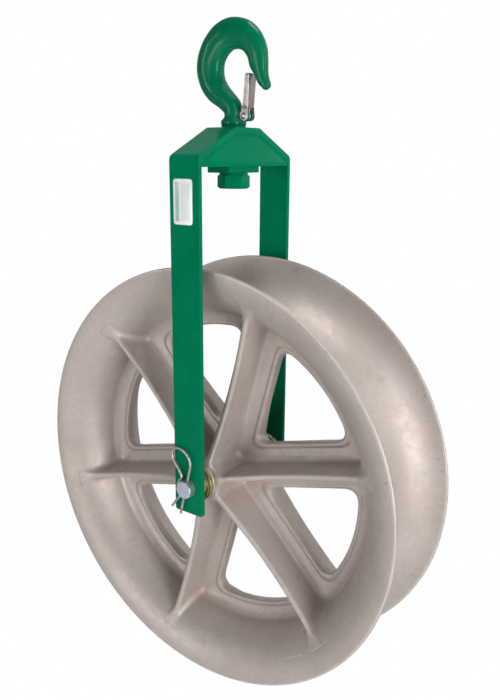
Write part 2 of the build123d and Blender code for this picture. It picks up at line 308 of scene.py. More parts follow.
# -------------------------------------------------------------------- surface from a field
def surface_net(field, lo, hi, h, steps=3):
    """Quads on the zero surface of field(x, y, z), symmetric in y, then pulled exactly onto it."""
    nx = int(math.ceil((hi[0] - lo[0]) / h)) + 1
    nz = int(math.ceil((hi[2] - lo[2]) / h)) + 1
    nyh = int(math.ceil(hi[1] / h)) + 1
    xs = (lo[0] + h * np.arange(nx)).astype(np.float32)
    zs = (lo[2] + h * np.arange(nz)).astype(np.float32)
    yh = (h * np.arange(nyh)).astype(np.float32)
    F = np.empty((nx, 2 * nyh - 1, nz), np.float32)
    for a in range(0, nx, 24):
        b = min(nx, a + 24)
        X, Y, Z = np.meshgrid(xs[a:b], yh, zs, indexing="ij")
        f = field(X, Y, Z)
        F[a:b, nyh - 1:] = f
        F[a:b, :nyh - 1] = f[:, :0:-1]
    org = np.array([xs[0], -yh[-1], zs[0]], float)
    ins = F < 0
    cnt = np.zeros(tuple(np.array(F.shape) - 1), np.uint8)
    for dx in (0, 1):
        for dy in (0, 1):
            for dz in (0, 1):
                cnt += ins[dx:dx + cnt.shape[0], dy:dy + cnt.shape[1], dz:dz + cnt.shape[2]]
    act = (cnt > 0) & (cnt < 8)
    idx = np.argwhere(act)
    corner = [np.array([dx, dy, dz]) for dx in (0, 1) for dy in (0, 1) for dz in (0, 1)]
    val = [F[idx[:, 0] + c[0], idx[:, 1] + c[1], idx[:, 2] + c[2]].astype(float) for c in corner]
    pos = np.zeros((len(idx), 3))
    num = np.zeros(len(idx))
    for i in range(8):
        for j in range(i + 1, 8):
            if np.abs(corner[i] - corner[j]).sum() != 1:
                continue
            x = (val[i] < 0) != (val[j] < 0)
            t = np.where(x, val[i] / np.where(x, val[i] - val[j], 1.0), 0.0)
            pos += np.where(x[:, None], corner[i] + (corner[j] - corner[i]) * t[:, None], 0.0)
            num += x
    V = org + h * (idx + pos / num[:, None])
    ids = np.full(act.shape, -1, np.int32)
    ids[act] = np.arange(len(idx), dtype=np.int32)
    quads = []
    for ax in range(3):
        s0 = [slice(1, -1)] * 3
        s1 = [slice(1, -1)] * 3
        s0[ax], s1[ax] = slice(0, -1), slice(1, None)
        A, B = ins[tuple(s0)], ins[tuple(s1)]
        e = np.argwhere(A != B)
        flip = A[e[:, 0], e[:, 1], e[:, 2]]
        base = e.copy()
        o1, o2 = [d for d in range(3) if d != ax]
        base[:, o1] += 1
        base[:, o2] += 1
        cells = []
        for d1, d2 in ((-1, -1), (0, -1), (0, 0), (-1, 0)):
            c = base.copy()
            c[:, o1] += d1
            c[:, o2] += d2
            cells.append(ids[c[:, 0], c[:, 1], c[:, 2]])
        q = np.stack(cells, -1)
        if ax == 1:
            flip = ~flip
        q = np.where(flip[:, None], q, q[:, ::-1])
        quads.append(q)
    Q = np.vstack(quads)

    def grad(P, f0, d=0.05):
        g = np.empty_like(P)
        for a in range(3):
            P2 = P.copy()
            P2[:, a] += d
            g[:, a] = (field(*P2.T) - f0) / d
        return g
    # slide the points apart along the surface a little, and back onto it
    for step in range(steps):
        f0 = field(*V.T)
        g = grad(V, f0)
        mv = -(f0 / np.maximum((g * g).sum(1), 0.2))[:, None] * g
        L = np.linalg.norm(mv, axis=1)
        mv *= np.minimum(1.0, 0.6 * h / np.maximum(L, 1e-9))[:, None]
        V = V + mv
        if step < steps - 1:
            acc = np.zeros_like(V)
            deg = np.zeros(len(V))
            for c in range(4):
                np.add.at(acc, Q[:, c], V[Q[:, (c + 1) % 4]] + V[Q[:, (c + 3) % 4]])
                np.add.at(deg, Q[:, c], 2)
            mean = acc / np.maximum(deg, 1)[:, None]
            V = V + 0.45 * (mean - V)
    return V, Q


def smin(a, b, k):
    h = np.maximum(k - np.abs(a - b), 0) / k
    return np.minimum(a, b) - h * h * (k * 0.25)


def smax(a, b, k):
    return -smin(-a, -b, k)


# ----------------------------------------------------------------------------- sheave
PHASE = math.radians(15.25)
SHELL_R, SHELL_Y = 68.0, 81.2
GROOVE_C, GROOVE_R = 327.7, 80.9


def crest(s):
    return 56.0 + 13.0 * ((s - 165.0) / 130.0) ** 2


def blade_field(s, t, ay):
    """One spoke's upright blade: s along the spoke, t across it (>= 0), ay = |y|."""
    top = crest(s)
    half = 4.3 + 0.085 * np.maximum(top - ay, 0)
    return smax((t - half) * 0.996, ay - top, 4.6)


def spider_field(x, y, z):
    r = np.hypot(x, z)
    th = np.arctan2(x, z) - PHASE
    ph = np.abs(np.mod(th + PI / 6, PI / 3) - PI / 6)
    t1, s1 = r * np.sin(ph), r * np.cos(ph)
    t2, s2 = r * np.sin(PI / 3 - ph), r * np.cos(PI / 3 - ph)
    ay = np.abs(y)
    # windows and the beaded plate round them
    e = smax(smax(33.0 - t1, 33.0 - t2, 22.0), r - 214.0, 23.4)
    slope = 6.1 + 3.6 * np.clip((e - 8.0) / 13.0, 0, 1)
    bead = 8.1 - (e - 3.9) ** 2 / 9.0
    plate = smax((ay - smax(slope, bead, 1.2)) * 0.96, -e, 3.0)
    blades = smin(blade_field(s1, t1, ay), blade_field(s2, t2, ay), 7.0)
    f = smin(blades, plate, 8.0)
    f = smin(f, smax(r - 29.0, ay - 71.0, 5.0), 9.0)
    f = smin(f, smax(r - 22.5, ay - 79.0, 1.0), 2.0)
    # the rim's shell, a hair smaller than the rim itself, so that only the blends show
    u = (304.8 - r) / SHELL_R
    v = ay / SHELL_Y
    q = np.sqrt(u * u + v * v)
    g = np.sqrt((u / SHELL_R) ** 2 + (v / SHELL_Y) ** 2) / np.maximum(q, 1e-6)
    shell = (q - 1) / np.maximum(g, 1e-6) + 0.20
    f = smin(f, shell, 12.0)
    # keep under the rim's groove and inside its lips
    f = smax(f, (GROOVE_R + 2.0) - np.sqrt((GROOVE_C - r) ** 2 + ay * ay), 0.6)
    f = smax(f, r - 274.0, 0.6)
    return smax(f, 16.0 - r, 0.8)


def rim_profile():
    pts = []
    # side shell, front lip to rear lip
    for a in np.linspace(-1, 1, 97):
        b = a * math.radians(86.2)
        pts.append((304.8 - SHELL_R * math.cos(b), SHELL_Y * math.sin(b)))
    lip = [(302.4, 81.0), (303.6, 80.6), (304.4, 79.9), (304.75, 79.0), (304.7, 78.2), (304.2, 77.5)]
    rear = lip + []
    front = [(r, -y) for r, y in lip[::-1]]
    groove = []
    for y in np.linspace(76.9, -76.9, 73):
        groove.append((GROOVE_C - math.sqrt(GROOVE_R ** 2 - y * y), y))
    return pts + rear + groove + front


def casting(V):
    """The slow unevenness of a sand casting, the same field for every part of the wheel."""
    return lumps(V, 0.16, 16.0, 0.3) + lumps(V, 0.06, 5.0, 1.1)


def build_sheave():
    segs = 540
    p = np.asarray(rim_profile())
    a = np.arange(segs) * 2 * PI / segs
    V = np.stack([p[:, :1] * np.sin(a), np.repeat(p[:, 1:], segs, 1), p[:, :1] * np.cos(a)], -1).reshape(-1, 3)
    n = len(p)
    i = np.arange(n)[:, None]
    j = (i + 1) % n
    k = np.arange(segs)[None]
    l = (k + 1) % segs
    Q = np.stack([i * segs + k, i * segs + l, j * segs + l, j * segs + k], -1).reshape(-1, 4)
    N = vertex_normals(V, Q)
    ring_r = np.hypot(V[:, 0], V[:, 2])
    quiet = np.clip((304.0 - ring_r) / 6.0, 0.15, 1.0)
    in_groove = (ring_r > GROOVE_C - np.sqrt(np.maximum(GROOVE_R ** 2 - V[:, 1] ** 2, 0)) - 0.6) & (np.abs(V[:, 1]) < 77)
    quiet = np.where(in_groove, 0.3 * quiet, quiet)
    V = V + N * (casting(V) * quiet)[:, None]
    V[:, 2] += ZA
    me = mesh_arrays("sheave_rim_cast", V, Q)
    tidy(me)
    smooth(me)
    rim = put("sheave_rim_cast", me)

    h = 1.6
    V, Q = surface_net(spider_field, (-277.0, 0.0, -277.0), (277.0, 80.5, 277.0), h)
    N = vertex_normals(V, Q)
    V = V + N * casting(V)[:, None]
    V[:, 2] += ZA
    me = mesh_arrays("sheave_spider_cast", V, Q)
    tidy(me)
    smooth(me)
    spider = put("sheave_spider_cast", me)
    return rim, spider


# ------------------------------------------------------------------------------- yoke
BAR_W, BAR_T = 49.0, 6.4
YOKE_Y, LEG_BOTTOM, YOKE_TOP, SHOULDER_Z, CROWN_Y = 102.2, -39.1, 484.1, 447.0, 26.3
OUT = [(-YOKE_Y, LEG_BOTTOM), (-YOKE_Y, SHOULDER_Z), (-CROWN_Y, YOKE_TOP),
       (CROWN_Y, YOKE_TOP), (YOKE_Y, SHOULDER_Z), (YOKE_Y, LEG_BOTTOM)]


def inset(points, d):
    lines = []
    for (x0, z0), (x1, z1) in zip(points[:-1], points[1:]):
        L = math.hypot(x1 - x0, z1 - z0)
        nx, nz = (z1 - z0) / L, -(x1 - x0) / L
        lines.append(((x0 + nx * d, z0 + nz * d), ((x1 - x0) / L, (z1 - z0) / L)))
    out = [lines[0][0]]
    for (p, u), (q, v) in zip(lines[:-1], lines[1:]):
        det = u[0] * -v[1] + v[0] * u[1]
        s = ((q[0] - p[0]) * -v[1] + v[0] * (q[1] - p[1])) / det
        out.append((p[0] + u[0] * s, p[1] + u[1] * s))
    q, v = lines[-1]
    L = math.hypot(points[-1][0] - points[-2][0], points[-1][1] - points[-2][1])
    out.append((q[0] + v[0] * L, q[1] + v[1] * L))
    return out


INN = inset(OUT, BAR_T)


def build_strap():
    mid = inset(OUT, BAR_T / 2)
    path = rounded([(y, z, 9.0 - BAR_T / 2) for y, z in mid], 0, n=8, closed=False)
    # even steps on the straights, fine ones at the two ends
    pts = [np.array(path[0])]
    for a, b in zip(path[:-1], path[1:]):
        a, b = np.array(a), np.array(b)
        L = np.linalg.norm(b - a)
        if L > 20:
            ts = [0.35, 0.9, 1.8, 2.6, 3.2, 3.6] if len(pts) == 1 else [3.0]
            te = [3.6, 3.2, 2.6, 1.8, 0.9, 0.35] if np.allclose(b, path[-1]) else [3.0]
            m = int(L // 30)
            s = ts + list(np.linspace(0, L, m + 2)[1:-1]) + [L - t for t in te] + [L]
            s = sorted(set(round(v, 4) for v in s))
            pts += [a + (b - a) * t / L for t in s]
        else:
            pts.append(b)
    P = np.array(pts)
    T = np.gradient(P, axis=0)
    T /= np.linalg.norm(T, axis=1)[:, None]
    # exact bisector directions
    for i in range(1, len(P) - 1):
        u = (P[i] - P[i - 1]) / np.linalg.norm(P[i] - P[i - 1])
        v = (P[i + 1] - P[i]) / np.linalg.norm(P[i + 1] - P[i])
        T[i] = (u + v) / np.linalg.norm(u + v)
    Nn = np.stack([-T[:, 1], T[:, 0]], -1)     # to the outside of the bend (front leg: -Y)
    cum = np.concatenate([[0], np.cumsum(np.linalg.norm(np.diff(P, axis=0), axis=1))])
    total = cum[-1]
    rings = []
    R, e = 3.5, 0.75
    for i in range(len(P)):
        d = min(cum[i], total - cum[i])
        w = BAR_W / 2
        if d < R:
            w = BAR_W / 2 - R + math.sqrt(max(R * R - (R - d) ** 2, 0)) * 0.9 + 0.1 * R * d / R
        tk = BAR_T / 2
        if d < 0.6:
            tk = BAR_T / 2 - 0.6 + math.sqrt(max(0.36 - (0.6 - d) ** 2, 0))
            w = min(w, BAR_W / 2 - R + 0.4 + d)
        sec = []
        rr = min(e, tk * 0.9)
        for sx, sn, a0 in ((1, 1, 0), (-1, 1, 90), (-1, -1, 180), (1, -1, 270)):
            if a0 in (90, 270):
                sec.append((sx * (w - rr - 0.5), sn * tk))
            if a0 in (180, 0):
                sec.append((sx * w, sn * (tk - rr) * 0.72))
            for k in range(5):
                g = math.radians(a0 + k * 22.5)
                sec.append((sx * (w - rr) + rr * math.cos(g), sn * (tk - rr) + rr * math.sin(g)))
            if a0 in (0, 180):
                sec.append((sx * (w - rr - 0.5), sn * tk))
            if a0 in (90, 270):
                sec.append((sx * w, sn * (tk - rr) * 0.72))
        sec = np.array(sec)
        y = P[i][0] + Nn[i][0] * sec[:, 1]
        z = P[i][1] + Nn[i][1] * sec[:, 1]
        # thickness stays true across the mitre
        rings.append(np.stack([sec[:, 0], y, z + ZA], -1))
    o = put("yoke_bar", skin(rings, "yoke_bar"))
    for sg in (-1, 1):
        c = put("c", lathe([(0, sg * 90), (12.75, sg * 90), (12.75, sg * 110), (0, sg * 110)], "Y", 96, (0, 0, ZA)))
        cut(o, c)
    c = put("c", lathe([(0, 470), (15.5, 470), (15.5, 495), (0, 495)], "Z", 72, (0, 0, ZA)))
    cut(o, c)
    smooth(o.data, 32)
    return o


def build_gusset(side):
    x1 = side * (BAR_W / 2 - 1.0)
    x0 = x1 - side * 4.8
    pts = [(y, z) for y, z in INN]
    pts[0] = (pts[0][0], 434.0)
    pts[-1] = (pts[-1][0], 434.0)
    out = rounded([(y, z, 0.0 if i in (0, 5) else 2.6) for i, (y, z) in enumerate(pts)], 0, n=5)
    o = put("gusset", prism([(y, z + ZA) for y, z in out], min(x0, x1), max(x0, x1), "YZ"))
    bevelled(o, 0.7, 3, 40)
    smooth(o.data, 40)
    return o


def build_weld(side):
    """A low painted fillet bead in the step between the bar's edge and the gusset."""
    pts = [(y, z) for y, z in INN]
    pts[0] = (pts[0][0], 434.6)
    pts[-1] = (pts[-1][0], 434.6)
    base = rounded([(y, z, 3.0) for y, z in pts], 0, n=6, closed=False)
    P = [np.array(base[0])]
    for a, b in zip(base[:-1], base[1:]):
        a, b = np.array(a), np.array(b)
        L = np.linalg.norm(b - a)
        m = max(1, int(L / 0.9))
        P += [a + (b - a) * (k + 1) / m for k in range(m)]
    P = np.array(P)
    T = np.gradient(P, axis=0)
    T /= np.linalg.norm(T, axis=1)[:, None]
    inw = np.stack([T[:, 1], -T[:, 0]], -1)       # towards the gusset's middle
    s = np.concatenate([[0], np.cumsum(np.linalg.norm(np.diff(P, axis=0), axis=1))])
    rip = 0.10 * np.sin(2 * PI * s / 3.1 + 0.6 * np.sin(s / 17.0)) + 0.10 * np.sin(s / 9.0 + 1.0)
    fade = np.clip(np.minimum(s, s[-1] - s) / 4.0, 0.15, 1)
    rings = []
    for i in range(len(P)):
        w = 4.6 + rip[i] * 1.2
        prof = [(-1.5, 0.70), (-1.35, 1.02), (-0.7, 1.12), (0.3, 1.13), (1.3, 1.02), (2.5, 0.78), (3.6, 0.42),
                (w, 0.10), (w + 0.1, -0.6), (1.5, -0.9), (-1.2, -0.4)]
        ring = []
        for u, hgt in prof:
            q = P[i] + inw[i] * u
            hh = -0.9 + (hgt + 0.9 + (rip[i] if hgt > 0.3 else 0) * 0.8) * fade[i] if hgt > 0 else hgt
            ring.append((side * (BAR_W / 2 - 1.0 + hh), q[0], q[1] + ZA))
        rings.append(ring if side > 0 else ring[::-1])
    me = skin(rings, "weld")
    smooth(me, 60)
    return put("weld_bead", me)


def build_block():
    lo, x = 425.9, BAR_W / 2 - 1.0 - 4.8
    pts = [(-33.3, lo), (33.3, lo), (33.3, 470.0)]
    slope = (YOKE_TOP - SHOULDER_Z) / (YOKE_Y - CROWN_Y)
    # underside of the bar over |y| = 33.3 and the flat crown
    yi = [p for p in INN if abs(p[0]) < 60]
    z_top = yi[0][1]
    y_k = abs(yi[0][0])
    z_at = z_top - (33.3 - y_k) * slope
    out = [(-33.3, lo), (33.3, lo), (33.3, z_at), (y_k, z_top), (-y_k, z_top), (-33.3, z_at)]
    o = put("crown_block", prism([(y, z + ZA) for y, z in out], -x, x, "YZ"))
    cut(o, put("c", lathe([(0, 415), (15.5, 415), (15.5, 490), (0, 490)], "Z", 72, (0, 0, ZA))))
    bevelled(o, 0.9, 3, 40)
    smooth(o.data, 40)
    return o


def build_label():
    w, h = 31.5 / 2, 57.0 / 2
    out = rounded([(-w - 2, 391 - h, 4), (w - 2, 391 - h, 4), (w - 2, 391 + h, 4), (-w - 2, 391 + h, 4)], 0, n=8)
    o = put("label", prism([(x, z + ZA) for x, z in out], -YOKE_Y - 0.4, -YOKE_Y + 0.05, "XZ"))
    bevelled(o, 0.12, 2, 40)
    smooth(o.data, 40)
    return o


# ------------------------------------------------------------------------- pin and clip
def build_pin():
    R = 12.7
    prof = rounded([(0, -114.1, 0), (R - 1.2, -114.1, 0.7), (R, -112.9, 0.5), (R, 102.5, 0), (17.5, 102.5, 0.4),
                    (17.5, 108.5, 1.5), (0, 108.5, 0)], 0, n=4)
    o = put("axle_pin_turned", lathe(prof, "Y", 96, (0, 0, ZA)))
    t = math.radians(14.3)
    d = np.array([math.sin(t), 0, math.cos(t)])
    c = np.array([0, -107.5, ZA])
    hole = put("c", tube([c - d * 30, c + d * 30], 2.05, 24))
    cut(o, hole)
    smooth(o.data, 32)
    return o


def build_clip():
    """Bow-type hairpin: (across, along the straight leg) in its own leaning plane."""
    t = math.radians(14.3)
    pts = [(-17.0, -38.0), (-13.6, -30.0), (-10.2, -22.2), (-8.0, -17.6), (-8.6, -14.2), (-11.6, -10.6), (-14.0, -5.6),
           (-14.8, 0.0), (-14.2, 5.2), (-12.2, 9.4), (-11.3, 12.4), (-11.9, 15.2), (-15.0, 19.0), (-20.6, 24.2),
           (-26.6, 28.8), (-32.0, 33.2), (-34.9, 38.4), (-35.2, 43.6), (-32.9, 48.4), (-28.4, 51.9), (-22.6, 53.4),
           (-16.4, 53.0), (-10.2, 50.4), (-5.2, 46.4), (-1.9, 41.4), (-0.4, 35.6), (0.0, 28.0), (0.0, 14.0),
           (0.0, 0.0), (0.0, -14.0), (0.0, -28.0), (0.0, -41.0)]
    C = catmull(pts, 8)
    x = C[:, 0] * math.cos(t) + C[:, 1] * math.sin(t)
    z = -C[:, 0] * math.sin(t) + C[:, 1] * math.cos(t)
    P = np.stack([x, np.full(len(x), -107.5), z + ZA], -1)
    me = tube(P, 1.8, 18)
    smooth(me, 50)
    return put("hairpin_wire", me)


# -------------------------------------------------------------------------------- hook
HOOK = [
    (0.0, 494.5, 15.6, 15.6, 0),
    (0.0, 496.2, 13.9, 13.7, 0),
    (0.0, 498.6, 12.6, 12.5, 2),
    (-0.2, 502.5, 12.6, 12.4, 12),
    (-2.6, 510.5, 13.2, 13.0, 36),
    (-12.8, 519.6, 13.6, 14.0, 50),
    (-26.0, 530.1, 16.3, 14.2, 44),
    (-35.5, 542.7, 18.4, 14.2, 25),
    (-39.5, 558.8, 20.2, 14.2, 1),
    (-36.3, 575.7, 20.2, 14.2, -23),
    (-26.0, 590.2, 20.4, 13.8, -46),
    (-11.8, 599.4, 20.2, 13.4, -69),
    (2.9, 601.3, 19.5, 13.0, -93),
    (18.3, 597.6, 18.3, 12.6, -115),
    (30.1, 588.7, 16.5, 12.0, -138),
    (38.0, 575.5, 14.5, 11.0, -158),
    (40.9, 561.5, 12.9, 10.0, -165),
    (44.6, 550.7, 9.4, 8.8, -160),
    (48.4, 541.1, 7.9, 7.4, -151),
    (53.5, 534.3, 6.1, 5.8, -139),
]


def build_hook():
    C = catmull(HOOK, 8)
    rings = []
    n = 56
    a = np.arange(n) * 2 * PI / n
    ca, sa = np.cos(a), np.sin(a)
    for i, (x, h, A, B, ang) in enumerate(C):
        t = math.radians(ang)
        f = np.clip((h - 505) / 15.0, 0, 1) if i < 48 else 1.0
        e = 2.0 / (2.0 + 0.28 * f)
        u = A * np.sign(ca) * np.abs(ca) ** e
        v = B * np.sign(sa) * np.abs(sa) ** e * (1 + 0.07 * f * ca)
        xd = np.array([math.cos(t), 0, math.sin(t)])
        rings.append(np.array([x, 0, h + ZA]) + u[:, None] * xd + v[:, None] * np.array([0, 1.0, 0]))
    # rounded tip
    x, h, A, B, ang = C[-1]
    t = math.radians(ang)
    fwd = np.array([-math.sin(t), 0, math.cos(t)])
    xd = np.array([math.cos(t), 0, math.sin(t)])
    for k in (20, 40, 58, 74, 86):
        g = math.radians(k)
        c = np.array([x, 0, h + ZA]) + fwd * 4.2 * math.sin(g)
        rings.append(c + (A * ca * math.cos(g))[:, None] * xd + (B * sa * math.cos(g))[:, None] * np.array([0, 1.0, 0]))
    parts = [put("bowl", skin(rings, "bowl"))]
    prof = rounded([(0, 404.5, 0), (11.6, 404.5, 0.5), (12.7, 405.6, 0.4), (12.7, 487.0, 0), (17.1, 487.0, 1.4),
                    (17.1, 493.2, 1.8), (14.6, 494.6, 1.5), (12.0, 497.5, 0), (0, 497.5, 0)], 0, n=4)
    parts.append(put("shank", lathe(prof, "Z", 96, (0, 0, ZA))))
    for y0, y1 in ((-6.1, -2.9), (2.9, 6.1)):
        ear = rounded([(8.0, 491.9, 0), (22.5, 491.9, 6.6), (29.1, 491.9, 6.6), (29.1, 498.5, 6.6), (29.1, 505.1, 6.6),
                       (22.5, 505.1, 6.6), (8.0, 505.1, 0)], 0, n=6)
        a1 = [(22.5 + 6.6 * math.cos(g), 498.5 + 6.6 * math.sin(g)) for g in np.radians(np.linspace(-90, 90, 13))]
        ear = [(8.0, 491.9)] + a1 + [(8.0, 505.1)]
        parts.append(put("ear", prism([(x, z + ZA) for x, z in ear], y0, y1, "XZ")))
    root = [(6.0, 491.9), (15.6, 491.9), (15.6, 505.1), (6.0, 505.1)]
    parts.append(put("root", prism([(x, z + ZA) for x, z in root], -6.1, 6.1, "XZ")))
    o = parts[0]
    for p in parts[1:]:
        cut(o, p, "UNION")
    m = o.modifiers.new("r", "REMESH")
    m.mode = "VOXEL"
    m.voxel_size = 0.75 * MM
    baked(o)
    m = o.modifiers.new("s", "SMOOTH")
    m.factor = 0.5
    m.iterations = 7
    baked(o)
    me = o.data
    V = np.empty(len(me.vertices) * 3)
    me.vertices.foreach_get("co", V)
    V = V.reshape(-1, 3) * 1000
    N = np.empty(len(me.vertices) * 3)
    me.vertices.foreach_get("normal", N)
    N = N.reshape(-1, 3)
    k = np.clip((V[:, 2] - ZA - 500) / 15, 0, 1)
    V = V + N * (k * (lumps(V, 0.16, 7.0, 0.8)))[:, None]
    me.vertices.foreach_set("co", (V * MM).ravel())
    me.update()
    smooth(me)
    o.name = "forged_hook"
    return o


# ----------------------------------------------------------------- nut, washers, latch
def build_nut():
    R = 38.1 / 2 / math.cos(PI / 6)
    t0 = math.radians(36.2)
    hexa = [(R * math.cos(t0 + k * PI / 3), R * math.sin(t0 + k * PI / 3)) for k in range(6)]
    o = put("hex_nut", prism(hexa, 404.9 + ZA, 423.6 + ZA, "XY"))
    r1 = 19.05
    cone = [(0, 404.9), (r1 - 0.1, 404.9), (R + 0.2, 407.4), (R + 0.2, 421.1), (r1 - 0.1, 423.6), (0, 423.6)]
    cut(o, put("c", lathe(cone, "Z", 144, (0, 0, ZA))), "INTERSECT")
    cut(o, put("c", lathe([(0, 400), (12.72, 400), (12.72, 430), (0, 430)], "Z", 72, (0, 0, ZA))))
    c = put("c", lathe([(0, -30), (2.5, -30), (2.5, 14), (0, 14)], "X", 32, (0, 0, 413.0 + ZA)))
    cut(o, c)
    bevelled(o, 0.45, 2, 25)
    smooth(o.data, 35)
    return o


def simple_ring(name, ro, ri, h0, h1, axis, segs=96, r=0.4):
    prof = rounded([(ri, h0), (ro, h0), (ro, h1), (ri, h1)], r, n=3)
    me = lathe(prof, axis, segs, (0, 0, ZA), name)
    smooth(me, 40)
    return put(name, me)


def build_bushing(sg):
    prof = [(12.76, 34.0, 0.3), (16.0, 34.0, 0.3), (16.0, 79.05, 0), (25.6, 79.05, 0.5), (26.0, 80.0, 0.4),
            (26.0, 83.2, 0.7), (24.8, 84.0, 0.6), (20.5, 84.0, 0.3), (19.8, 83.5, 0.3), (14.6, 83.5, 0.4),
            (12.76, 83.9, 0.4)]
    prof = rounded([(r, sg * h, q) for r, h, q in prof], 0, n=3)
    me = lathe(prof, "Y", 128, (0, 0, ZA))
    smooth(me, 40)
    return put("bushing", me)


def build_latch():
    """Bent sheet: two flanges over the lug, a web between them that widens and leans outwards going up."""
    px, pz = 22.5, 498.5
    t = 1.5
    rings = []
    # height, web's outer face x, flange's inner edge x, half width
    rows = [(507.6, 28.3, 18.9, 8.0), (510.0, 28.5, 19.9, 8.0), (514.0, 28.8, 20.9, 8.05), (520.0, 29.2, 21.7, 8.2),
            (528.0, 29.75, 22.7, 8.45), (536.0, 30.3, 23.6, 8.75), (542.0, 30.65, 24.2, 8.9), (547.0, 30.85, 24.6, 9.0),
            (549.6, 30.8, 24.9, 9.0), (550.8, 30.3, 25.6, 8.95)]
    ro = 2.0
    ri = ro - t
    for z, x, xi, half in rows:
        sec = [(xi, -half), ((xi + x - ro) / 2, -half)]
        for g in np.radians(np.linspace(-90, 0, 7)):
            sec.append((x - ro + ro * math.cos(g), -half + ro + ro * math.sin(g)))
        for g in np.radians(np.linspace(0, 90, 7)):
            sec.append((x - ro + ro * math.cos(g), half - ro + ro * math.sin(g)))
        sec += [((xi + x - ro) / 2, half), (xi, half), (xi, half - t), ((xi + x - ro) / 2, half - t)]
        for g in np.radians(np.linspace(90, 0, 4)):
            sec.append((x - ro + ri * math.cos(g), half - ro + ri * math.sin(g)))
        for g in np.radians(np.linspace(0, -90, 4)):
            sec.append((x - ro + ri * math.cos(g), -half + ro + ri * math.sin(g)))
        sec += [((xi + x - ro) / 2, -half + t), (xi, -half + t)]
        rings.append([(a, b, z + ZA) for a, b in sec])
    o = put("channel", skin(rings, "channel"))
    # the two ears that go down to the rivet
    for y0 in (-8.1, 8.1 - t):
        lobe = [(px + 6.3 * math.cos(g), pz + 6.3 * math.sin(g)) for g in np.radians(np.linspace(152, 372, 27))]
        ear = lobe + [(28.0, 506.0), (28.2, 508.6), (26.0, 510.4), (22.0, 510.6), (20.0, 510.2), (19.0, 507.8)]
        cut(o, put("ear", prism([(x, z + ZA) for x, z in ear], y0, y0 + t, "XZ")), "UNION")
    cut(o, put("c", lathe([(0, -12), (3.05, -12), (3.05, 12), (0, 12)], "Y", 40, (px, 0, pz + ZA))))
    bevelled(o, 0.25, 2, 35)
    smooth(o.data, 40)
    o.name = "latch_sheet"
    return o


def build_rivet():
    px, pz = 22.5, 498.5
    half = [(0.0, 10.2), (1.4, 10.05), (2.7, 9.65), (3.7, 9.1), (4.3, 8.55), (4.4, 8.15), (3.0, 8.12)]
    prof = half + [(r, -h) for r, h in half[::-1]]
    me = lathe(prof, "Y", 48, (px, 0, pz + ZA))
    smooth(me, 50)
    return put("rivet", me)


def build_spring():
    px, pz = 22.5, 498.5
    turns, pitch, R = 2.25, 1.3, 4.0
    h = turns * pitch
    g = np.linspace(0, 2 * PI * turns, 120)
    coil = np.stack([px + R * np.cos(g), -h / 2 + pitch * g / (2 * PI), ZA + pz - R * np.sin(g)], -1)
    up = np.array([(px + 5.7, -h / 2, ZA + pz + 31.0), (px + 5.2, -h / 2, ZA + pz + 22.0), (px + 4.6, -h / 2, ZA + pz + 12.0)])
    down = np.array([(px - 3.0, h / 2, ZA + pz - R), (px - 5.4, h / 2, ZA + pz - R)])
    me = tube(np.vstack([up, coil, down]), 0.6, 10)
    smooth(me, 60)
    return put("spring_wire", me)


